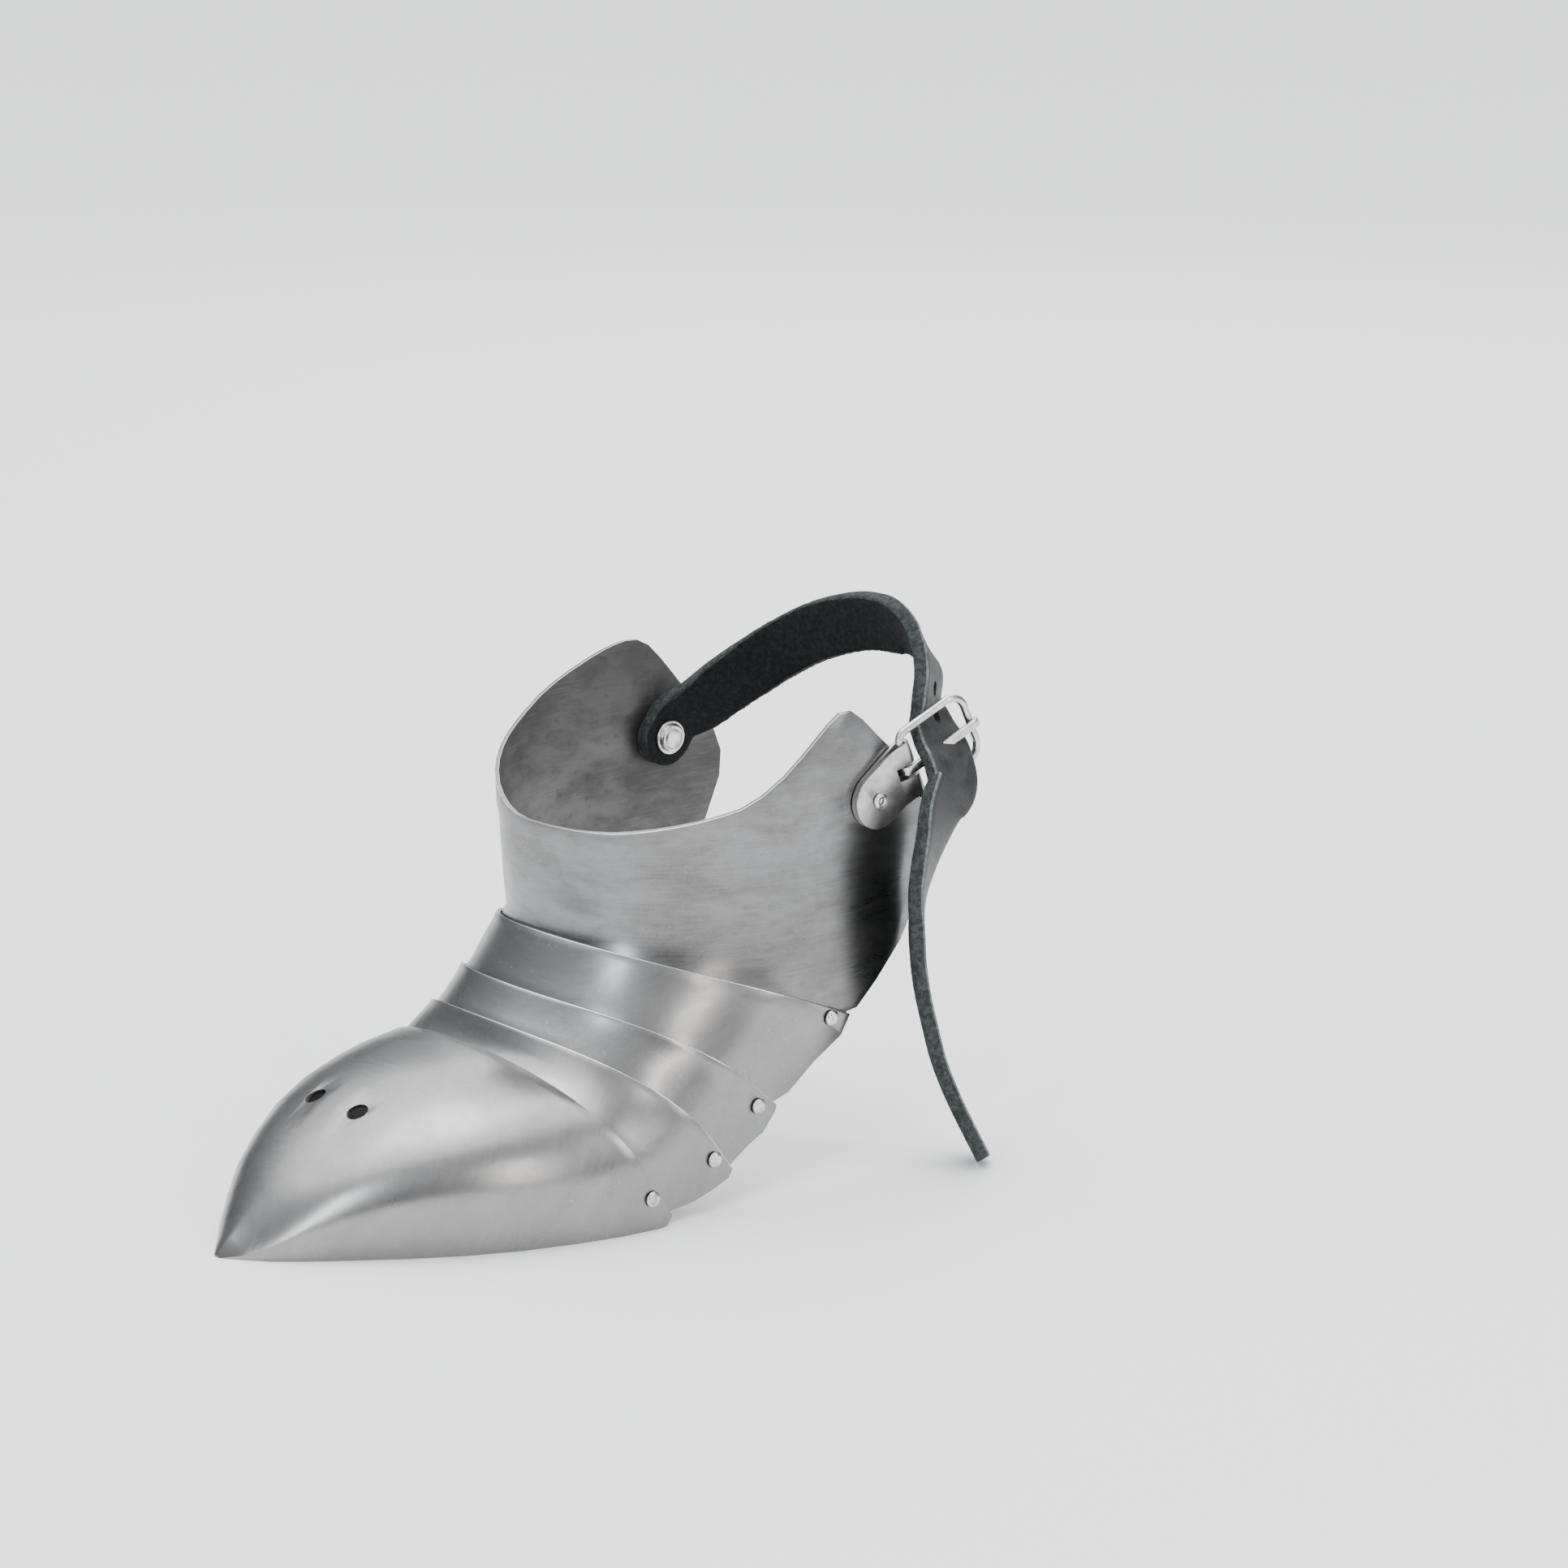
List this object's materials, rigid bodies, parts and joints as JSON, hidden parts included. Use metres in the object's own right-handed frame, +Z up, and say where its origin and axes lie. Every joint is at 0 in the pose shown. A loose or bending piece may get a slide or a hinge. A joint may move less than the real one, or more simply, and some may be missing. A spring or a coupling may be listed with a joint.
{
  "type": "sabaton",
  "caption": "Foot armour with a pointed toe cap, sliding lames, an ankle plate with raised ears and a buckled leather strap.",
  "frame": {"origin": "on the floor under the solid point of the toe, 4 mm behind the tip, in the middle plane", "axes": "+Z up, +X from the toe towards the heel, +Y towards the side without the buckle"},
  "size_m": [0.2352, 0.1396, 0.1635],
  "materials": {
    "plate_steel": "brushed sheet, fine scratches across the foot",
    "rivet_steel": "polished rivet heads",
    "buckle_steel": "bright wire and strip",
    "black_leather": "black grain outside, suede inside, raw grey edges"
  },
  "bodies": {
    "toe": {"toe_cap": "plate_steel", "rivet_toe_near": "rivet_steel", "rivet_toe_far": "rivet_steel"},
    "lame_3": {"lame_3": "plate_steel", "rivet_lame_3_near": "rivet_steel", "rivet_lame_3_far": "rivet_steel"},
    "lame_2": {"lame_2": "plate_steel", "rivet_lame_2_near": "rivet_steel", "rivet_lame_2_far": "rivet_steel"},
    "lame_1": {"lame_1": "plate_steel", "rivet_lame_1_near": "rivet_steel", "rivet_lame_1_far": "rivet_steel"},
    "ankle": {"ankle_plate": "plate_steel", "ankle_strap": "black_leather", "buckle_chape": "buckle_steel", "buckle_frame": "buckle_steel", "buckle_prong": "buckle_steel", "rivet_strap": "rivet_steel", "rivet_chape": "rivet_steel"}
  },
  "joints": [
    {"name": "toe_hinge", "type": "hinge", "parent": "toe", "child": "lame_3", "pos_m": [0.1048, 0, 0.0095], "axis": [0, -1, 0], "range_deg": [-8, 2]},
    {"name": "lame_3_hinge", "type": "hinge", "parent": "lame_3", "child": "lame_2", "pos_m": [0.12865, 0, 0.01593], "axis": [0, -1, 0], "range_deg": [-8, 1]},
    {"name": "lame_2_hinge", "type": "hinge", "parent": "lame_2", "child": "lame_1", "pos_m": [0.14616, 0, 0.02806], "axis": [0, -1, 0], "range_deg": [-4, 4]},
    {"name": "lame_1_hinge", "type": "hinge", "parent": "lame_1", "child": "ankle", "pos_m": [0.17483, 0, 0.04882], "axis": [0, -1, 0], "range_deg": [-4, 3]}
  ]
}
